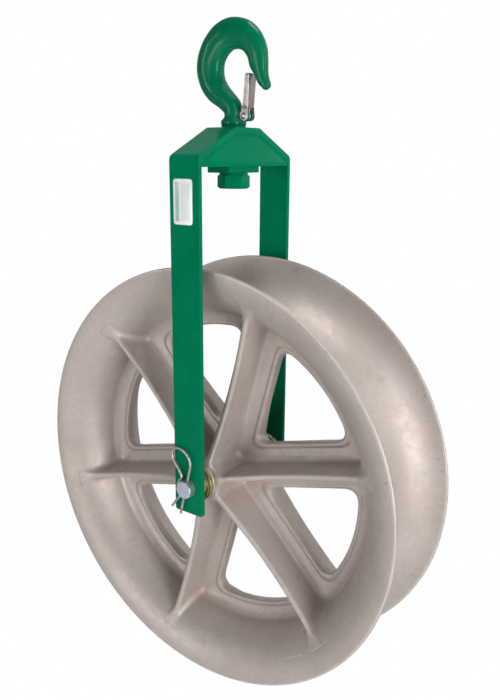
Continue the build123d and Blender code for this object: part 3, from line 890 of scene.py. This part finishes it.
# --------------------------------------------------------------------------- materials
class Nodes:
    def __init__(self, name):
        self.mat = bpy.data.materials.new(name)
        self.mat.use_nodes = True
        self.t = self.mat.node_tree
        self.t.nodes.clear()
        self.out = self.t.nodes.new("ShaderNodeOutputMaterial")
        self.p = self.t.nodes.new("ShaderNodeBsdfPrincipled")
        self.t.links.new(self.p.outputs[0], self.out.inputs[0])
        self.co = self.t.nodes.new("ShaderNodeTexCoord").outputs["Object"]

    def node(self, kind, **kw):
        n = self.t.nodes.new(kind)
        for k, v in kw.items():
            setattr(n, k, v)
        return n

    def put(self, socket, value):
        if hasattr(value, "is_output") or isinstance(value, bpy.types.NodeSocket):
            self.t.links.new(value, socket)
        else:
            socket.default_value = value

    def noise(self, size_mm, detail=3.0, rough=0.55, dist=0.0, co=None, stretch=None):
        n = self.node("ShaderNodeTexNoise")
        n.inputs["Scale"].default_value = 1000.0 / size_mm
        n.inputs["Detail"].default_value = detail
        n.inputs["Roughness"].default_value = rough
        n.inputs["Distortion"].default_value = dist
        src = co or self.co
        if stretch:
            m = self.node("ShaderNodeMapping")
            m.inputs["Scale"].default_value = stretch
            self.t.links.new(src, m.inputs["Vector"])
            src = m.outputs[0]
        self.t.links.new(src, n.inputs["Vector"])
        return n.outputs["Fac"]

    def ramp(self, fac, stops, interp="LINEAR"):
        n = self.node("ShaderNodeValToRGB")
        n.color_ramp.interpolation = interp
        els = n.color_ramp.elements
        while len(els) < len(stops):
            els.new(0.5)
        for e, (pos, col) in zip(els, stops):
            e.position = pos
            e.color = (*col, 1.0) if len(col) == 3 else col
        self.t.links.new(fac, n.inputs[0])
        return n.outputs[0]

    def span(self, fac, a, b, lo=0.0, hi=1.0):
        n = self.node("ShaderNodeMapRange")
        n.inputs["From Min"].default_value = a
        n.inputs["From Max"].default_value = b
        n.inputs["To Min"].default_value = lo
        n.inputs["To Max"].default_value = hi
        self.t.links.new(fac, n.inputs["Value"])
        return n.outputs[0]

    def mix(self, fac, a, b, blend="MIX"):
        n = self.node("ShaderNodeMix", data_type="RGBA", blend_type=blend)
        self.put(n.inputs[0], fac)
        for sock, v in ((n.inputs[6], a), (n.inputs[7], b)):
            if isinstance(v, bpy.types.NodeSocket):
                self.t.links.new(v, sock)
            else:
                sock.default_value = (*v, 1.0)
        return n.outputs[2]

    def math(self, op, a, b=0.0):
        n = self.node("ShaderNodeMath", operation=op)
        self.put(n.inputs[0], a)
        self.put(n.inputs[1], b)
        return n.outputs[0]

    def xyz(self):
        n = self.node("ShaderNodeSeparateXYZ")
        self.t.links.new(self.co, n.inputs[0])
        return n.outputs

    def bump(self, height, dist_mm, strength=1.0, normal=None):
        n = self.node("ShaderNodeBump")
        n.inputs["Strength"].default_value = strength
        n.inputs["Distance"].default_value = dist_mm * MM
        self.t.links.new(height, n.inputs["Height"])
        if normal is not None:
            self.t.links.new(normal, n.inputs["Normal"])
        return n.outputs[0]

    def set(self, **kw):
        names = dict(color="Base Color", metallic="Metallic", rough="Roughness", normal="Normal", coat="Coat Weight",
                     coat_rough="Coat Roughness", spec="Specular IOR Level", ior="IOR", aniso="Anisotropic",
                     sheen="Sheen Weight", coat_normal="Coat Normal")
        for k, v in kw.items():
            s = self.p.inputs[names[k]]
            if isinstance(v, bpy.types.NodeSocket):
                self.t.links.new(v, s)
            elif isinstance(v, tuple):
                s.default_value = (*v, 1.0)
            else:
                s.default_value = v
        return self.mat


def srgb(r, g, b):
    f = lambda c: c / 255 / 12.92 if c / 255 <= 0.04045 else ((c / 255 + 0.055) / 1.055) ** 2.4
    return (f(r), f(g), f(b))


def paint_green(name="green_enamel", tone=1.0, ior=1.11, gloss=(0.08, 0.15), ripple=1.0):
    m = Nodes(name)
    c = m.mix(m.span(m.noise(38.0, 2.0), 0.3, 0.7), (0.0001, 0.160, 0.074), (0.0002, 0.186, 0.083))
    speck = m.span(m.noise(1.6, 2.0, 0.6), 0.68, 0.76)
    c = m.mix(m.math("MULTIPLY", speck, 0.30), c, (0.0002, 0.110, 0.050))
    dust = m.span(m.noise(2.6, 3.0, 0.6, stretch=(1, 1, 1.2)), 0.71, 0.79)
    c = m.mix(m.math("MULTIPLY", dust, 0.12), c, (0.020, 0.250, 0.140))
    peel = m.noise(2.2, 1.5, 0.5)
    fine = m.noise(11.0, 2.0, 0.5)
    n = m.bump(peel, 0.012 * ripple, 1.0, m.bump(fine, 0.035 * ripple, 1.0))
    if tone != 1.0:
        c = m.mix(1.0 - tone, c, (0.0, 0.0, 0.0))
    return m.set(color=c, rough=m.span(m.noise(24.0, 3.0), 0.3, 0.7, *gloss), normal=n, spec=0.5, ior=ior)


def cast_aluminium(name="cast_aluminium_blasted", lips=False):
    m = Nodes(name)
    big = m.span(m.noise(120.0, 3.0, 0.6, 0.6), 0.30, 0.70)
    c = m.mix(big, srgb(180, 168, 162), srgb(194, 184, 180))
    warm = m.span(m.noise(62.0, 2.0, 0.5, 0.3), 0.35, 0.75)
    c = m.mix(m.math("MULTIPLY", warm, 0.5), c, srgb(190, 177, 167))
    mott = m.span(m.noise(9.0, 4.0, 0.62), 0.35, 0.68)
    c = m.mix(m.math("MULTIPLY", mott, 0.26), c, srgb(166, 153, 146))
    stain = m.span(m.noise(34.0, 4.0, 0.65, 0.8), 0.60, 0.74)
    c = m.mix(m.math("MULTIPLY", stain, 0.30), c, srgb(142, 130, 124))
    pit = m.span(m.noise(1.7, 2.0, 0.6), 0.68, 0.74)
    c = m.mix(m.math("MULTIPLY", pit, 0.28), c, srgb(110, 100, 94))
    rough = m.span(mott, 0.0, 1.0, 0.46, 0.58)
    grain = m.noise(1.25, 2.0, 0.6)
    sand = m.noise(3.4, 3.0, 0.6)
    n = m.bump(grain, 0.09, 1.0, m.bump(sand, 0.20, 1.0))
    if lips:
        # the lips painted brighter as a painted highlight, broken up by noise, with short dark scuffs just inside them
        # and a thin line of painted shade along their outer edge
        xyz = m.xyz()
        x, z = xyz[0], m.math("ADD", xyz[2], -ZA * MM)
        r = m.math("SQRT", m.math("ADD", m.math("MULTIPLY", x, x), m.math("MULTIPLY", z, z)))
        # painted highlight: a bright band along the lips, r 301.0 to 303.4 mm, with lower roughness there too
        edge = m.span(r, 0.3010, 0.3034)
        highlight_breakup = m.span(m.noise(30.0, 3.0, 0.6), 0.25, 0.60, 0.45, 1.0)
        c = m.mix(m.math("MULTIPLY", m.math("MULTIPLY", edge, highlight_breakup), 0.75), c, srgb(222, 213, 206))
        band = m.math("MULTIPLY", m.span(r, 0.2895, 0.2945), m.math("SUBTRACT", 1.0, m.span(r, 0.3015, 0.3030)))
        scuff = m.span(m.noise(5.5, 4.0, 0.7, 0.4), 0.63, 0.70)
        c = m.mix(m.math("MULTIPLY", m.math("MULTIPLY", band, scuff), 0.7), c, srgb(96, 86, 80))
        # painted shade: a thin dark line along the lips' outermost edge, r 303.5 to 304.2 mm, broken up by noise
        lip_edge_shade = m.math("MULTIPLY", m.span(r, 0.3035, 0.3042), m.span(m.noise(60.0, 2.0, 0.5), 0.35, 0.65, 0.25, 0.55))
        c = m.mix(lip_edge_shade, c, srgb(104, 94, 88))
        rough = m.math("SUBTRACT", rough, m.math("MULTIPLY", edge, 0.12))
    return m.set(color=c, metallic=0.42, rough=rough, normal=n, spec=0.40)


def machined(name, col_a, col_b, rough=(0.2, 0.34), metallic=1.0, fine=0.35, bump=0.03):
    m = Nodes(name)
    c = m.mix(m.span(m.noise(7.0, 3.0, 0.6), 0.3, 0.7), col_a, col_b)
    s = m.noise(fine, 2.0, 0.5, stretch=(0.25, 1.6, 0.25))
    n = m.bump(s, bump, 1.0)
    return m.set(color=c, metallic=metallic, rough=m.span(m.noise(5.0, 3.0), 0.3, 0.7, *rough), normal=n)


def zinc(name, dark=1.0):
    m = Nodes(name)
    a = tuple(v * dark for v in srgb(188, 182, 180))
    b = tuple(v * dark for v in srgb(158, 150, 148))
    c = m.mix(m.span(m.noise(4.0, 4.0, 0.6), 0.35, 0.68), a, b)
    g = m.noise(1.1, 3.0, 0.6)
    n = m.bump(g, 0.05, 1.0)
    return m.set(color=c, metallic=0.9, rough=m.span(m.noise(3.0, 3.0), 0.3, 0.7, 0.26, 0.42), normal=n)


def label_finish():
    """Blank plate: a pale field with a plain green margin strip and one grey panel, no lettering."""
    m = Nodes("label_blank_finish")
    xyz = m.xyz()
    x = m.math("MULTIPLY", xyz[0], 1000.0)
    z = m.math("MULTIPLY", xyz[2], 1000.0)
    z = m.math("ADD", z, -ZA - 391.0)
    white = m.mix(m.span(m.noise(6.0, 3.0), 0.35, 0.7), srgb(226, 232, 230), srgb(236, 240, 238))

    def band(v, lo, hi):
        a = m.math("GREATER_THAN", v, lo)
        b = m.math("LESS_THAN", v, hi)
        return m.math("MULTIPLY", a, b)
    strip = m.math("MULTIPLY", band(x, -14.4, -8.2), band(z, -24.6, 24.6))
    c = m.mix(m.math("MULTIPLY", strip, 0.75), white, srgb(120, 178, 160))
    pan = m.math("MULTIPLY", band(x, -5.6, 9.6), band(z, -23.0, 23.0))
    c = m.mix(m.math("MULTIPLY", pan, 0.5), c, srgb(196, 204, 201))
    return m.set(color=c, rough=m.span(m.noise(8.0, 2.0), 0.3, 0.7, 0.30, 0.42), metallic=0.0, spec=0.5,
                 normal=m.bump(m.noise(1.4, 2.0), 0.012, 1.0), coat=0.3, coat_rough=0.15)


def dress(o, mat):
    o.data.materials.clear()
    o.data.materials.append(mat)


# ----------------------------------------------------------------------------- assembly
GREEN = paint_green()
GREEN_FORGED = paint_green("green_enamel_forged", 0.84, 1.24, (0.17, 0.21), 0.25)
CAST = cast_aluminium()
CAST_RIM = cast_aluminium("cast_aluminium_rim", lips=True)
BRONZE = machined("bearing_bronze", srgb(176, 170, 112), srgb(150, 142, 92), (0.24, 0.38), 0.9)
STEEL = machined("turned_steel", srgb(206, 211, 222), srgb(190, 196, 208), (0.26, 0.38), 0.85)
ZINC = zinc("zinc_plate", 0.82)
WIRE = zinc("bright_wire", 1.1)
LABEL = label_finish()


def take(o, name, body, slot, mat, *nodes):
    o.name = name
    o.data.name = name
    dress(o, mat)
    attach(o, body)
    if nodes:
        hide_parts(*nodes)
    return o


rim, spider = build_sheave()
take(rim, "rim_casting", "sheave", "cast_aluminium", CAST_RIM, "sheave_rim")
take(spider, "spider_casting", "sheave", "cast_aluminium", CAST, "sheave_spider")
take(build_bushing(-1), "front_bushing_flanged", "sheave", "bronze", BRONZE, "front_hub_bushing")
take(build_bushing(1), "rear_bushing_flanged", "sheave", "bronze", BRONZE, "rear_hub_bushing")

take(build_strap(), "yoke_bent_bar", "yoke", "green_paint", GREEN, "yoke_strap")
take(build_gusset(1), "gusset_plate_right", "yoke", "green_paint", GREEN, "right_gusset")
take(build_gusset(-1), "gusset_plate_left", "yoke", "green_paint", GREEN, "left_gusset")
w1, w2 = build_weld(1), build_weld(-1)
take(w1, "weld_bead_right", "yoke", "green_paint", GREEN, "gusset_welds")
take(w2, "weld_bead_left", "yoke", "green_paint", GREEN, "gusset_welds")
take(build_block(), "crown_block", "yoke", "green_paint", GREEN, "swivel_block")
take(build_label(), "label_plate_blank", "yoke", "label_blank", LABEL, "label_plate")
for nm, h0, h1 in (("front_spacer", -95.8, -87.3), ("rear_spacer", 87.3, 95.8)):
    take(simple_ring(nm + "_turned", 19.0, 12.8, h0, h1, "Y"), nm + "_turned", "yoke", "bright_steel", STEEL, nm)
for nm, h0, h1 in (("front_thrust_washer", -87.3, -84.3), ("rear_thrust_washer", 84.3, 87.3)):
    take(simple_ring(nm + "_turned", 23.5, 12.8, h0, h1, "Y"), nm + "_turned", "yoke", "bronze", BRONZE, nm)
take(simple_ring("sleeve_turned", 15.5, 12.75, 425.9, 484.1, "Z", 72, 0.3), "swivel_sleeve_turned", "yoke", "bronze",
     BRONZE, "swivel_sleeve")

take(build_pin(), "axle_pin_turned", "axle", "bright_steel", STEEL, "axle_pin")
take(build_clip(), "hairpin_wire", "axle", "zinc_steel", WIRE, "hairpin_clip")

take(build_hook(), "forged_hook", "hook", "green_paint", GREEN_FORGED, "hook_body")
take(simple_ring("collar_turned", 16.5, 12.75, 484.4, 487.0, "Z", 72, 0.3), "collar_washer_turned", "hook",
     "green_paint", GREEN, "collar_washer")
take(build_nut(), "hex_nut", "hook", "green_paint", GREEN, "swivel_nut")
take(simple_ring("nut_washer_turned", 19.5, 12.8, 423.6, 425.6, "Z", 72, 0.3), "nut_washer_turned", "hook",
     "green_paint", GREEN, "nut_washer")
roll = lathe(rounded([(1.3, -18.5), (2.5, -18.5), (2.5, 13.3), (1.3, 13.3)], 0.3, n=2), "X", 28, (0, 0, 413.0 + ZA))
smooth(roll, 40)
take(put("roll_pin", roll), "roll_pin_tube", "hook", "zinc_steel", ZINC, "nut_roll_pin")
take(build_rivet(), "latch_rivet_domed", "hook", "zinc_steel", WIRE, "latch_rivet")
take(build_latch(), "latch_sheet", "latch", "zinc_steel", ZINC, "hook_latch")
take(build_spring(), "latch_spring_wire", "latch", "zinc_steel", WIRE, "latch_spring")

# ------------------------------------------------------------------------ floor, light
def backdrop(tree, out, lit, dim):
    """What is seen directly is plain white; what lights the object is the softer second shader."""
    lp = tree.nodes.new("ShaderNodeLightPath")
    mixer = tree.nodes.new("ShaderNodeMixShader")
    tree.links.new(lp.outputs["Is Camera Ray"], mixer.inputs[0])
    tree.links.new(dim, mixer.inputs[1])
    tree.links.new(lit, mixer.inputs[2])
    tree.links.new(mixer.outputs[0], out)


floor = put("floor", box_mesh((-30000, -30000, -1502), (30000, 30000, -1500)))
fm = Nodes("pale_floor")
fm.set(color=fm.mix(fm.span(fm.noise(900.0, 2.0), 0.3, 0.7), (0.72, 0.72, 0.72), (0.78, 0.78, 0.78)), rough=0.9, spec=0.1)
glow = fm.node("ShaderNodeEmission")
glow.inputs[0].default_value = (1, 1, 1, 1)
glow.inputs[1].default_value = 1.0
for l in list(fm.t.links):
    if l.to_node == fm.out:
        fm.t.links.remove(l)
backdrop(fm.t, fm.out.inputs[0], glow.outputs[0], fm.p.outputs[0])
dress(floor, fm.mat)

world = bpy.data.worlds.new("studio")
bpy.context.scene.world = world
world.use_nodes = True
wt = world.node_tree
wt.nodes.clear()
wout = wt.nodes.new("ShaderNodeOutputWorld")
white = wt.nodes.new("ShaderNodeBackground")
white.inputs[0].default_value = (1, 1, 1, 1)
white.inputs[1].default_value = 1.0
soft = wt.nodes.new("ShaderNodeBackground")
wc = wt.nodes.new("ShaderNodeTexCoord")
ws = wt.nodes.new("ShaderNodeVectorMath")
ws.operation = "DOT_PRODUCT"
ws.inputs[1].default_value = (-0.12, 0.90, -0.42)
wr = wt.nodes.new("ShaderNodeValToRGB")
wm = wt.nodes.new("ShaderNodeMapRange")
wm.inputs["From Min"].default_value = -1.0
wm.inputs["From Max"].default_value = 1.0
wt.links.new(wc.outputs["Generated"], ws.inputs[0])
wt.links.new(ws.outputs["Value"], wm.inputs["Value"])
wt.links.new(wm.outputs[0], wr.inputs[0])
els = wr.color_ramp.elements
els[0].position = 0.0
els[0].color = (0.10, 0.10, 0.10, 1)
els[1].position = 0.48
els[1].color = (0.14, 0.14, 0.14, 1)
for p, v in ((0.62, 0.62), (0.78, 0.92), (1.0, 1.0)):
    e = els.new(p)
    e.color = (v, v, v, 1)
wt.links.new(wr.outputs[0], soft.inputs[0])
soft.inputs[1].default_value = 1.0
backdrop(wt, wout.inputs[0], white.outputs[0], soft.outputs[0])


def area(name, loc, target, size, power, colour=(1, 1, 1), size_y=None):
    l = bpy.data.lights.new(name, "AREA")
    l.shape = "RECTANGLE"
    l.size = size
    l.size_y = size_y or size
    l.energy = power
    l.color = colour
    o = bpy.data.objects.new(name, l)
    bpy.context.scene.collection.objects.link(o)
    o.location = loc
    d = Vector(target) - Vector(loc)
    o.rotation_euler = d.to_track_quat("-Z", "Y").to_euler()
    return o


mid = (0.0, 0.0, -0.45)
area("key_right", (2.75, -1.15, -0.45), mid, 0.9, 58, size_y=1.8)
area("fill_front", (-0.9, -2.9, -0.35), mid, 1.1, 24, size_y=1.3)
area("fill_low", (0.3, -2.2, -1.35), mid, 1.0, 6)
area("rim_right", (2.7, 0.55, 0.9), mid, 1.0, 10)
area("top", (0.45, 0.25, 1.9), mid, 1.0, 26)
# two narrow strips that draw the highlights along the hook, the pin and the wire
area("strip_left", (-1.7, -1.5, 0.25), (0.0, 0.0, -0.05), 0.12, 4.5, size_y=0.8)
area("strip_right", (1.75, -1.1, 0.75), (0.0, 0.0, -0.05), 0.05, 5.0, size_y=1.0)

# ------------------------------------------------------------------------------ camera
az, el, roll_a = math.radians(36.19), math.radians(14.752), math.radians(0.438)
d = Vector((-math.sin(az) * math.cos(el), math.cos(az) * math.cos(el), -math.sin(el)))
r = Vector((math.cos(az), math.sin(az), 0))
u = r.cross(d)
r2 = r * math.cos(roll_a) + u * math.sin(roll_a)
u2 = -r * math.sin(roll_a) + u * math.cos(roll_a)
cam = bpy.data.cameras.new("camera")
cam.sensor_width = 36.0
cam.sensor_fit = "AUTO"
cam.lens = 734.737 / 700.0 * 36.0
cam.clip_end = 60.0
co = bpy.data.objects.new("camera", cam)
bpy.context.scene.collection.objects.link(co)
M = Matrix((r2, u2, -d)).transposed().to_4x4()
M.translation = Vector((0.62424, -0.81246, 0.44707 + ZA * MM))
co.matrix_world = M
bpy.context.scene.camera = co
vs = bpy.context.scene.view_settings
vs.view_transform = "Standard"
vs.look = "None"
vs.exposure = 0.0
vs.gamma = 1.0
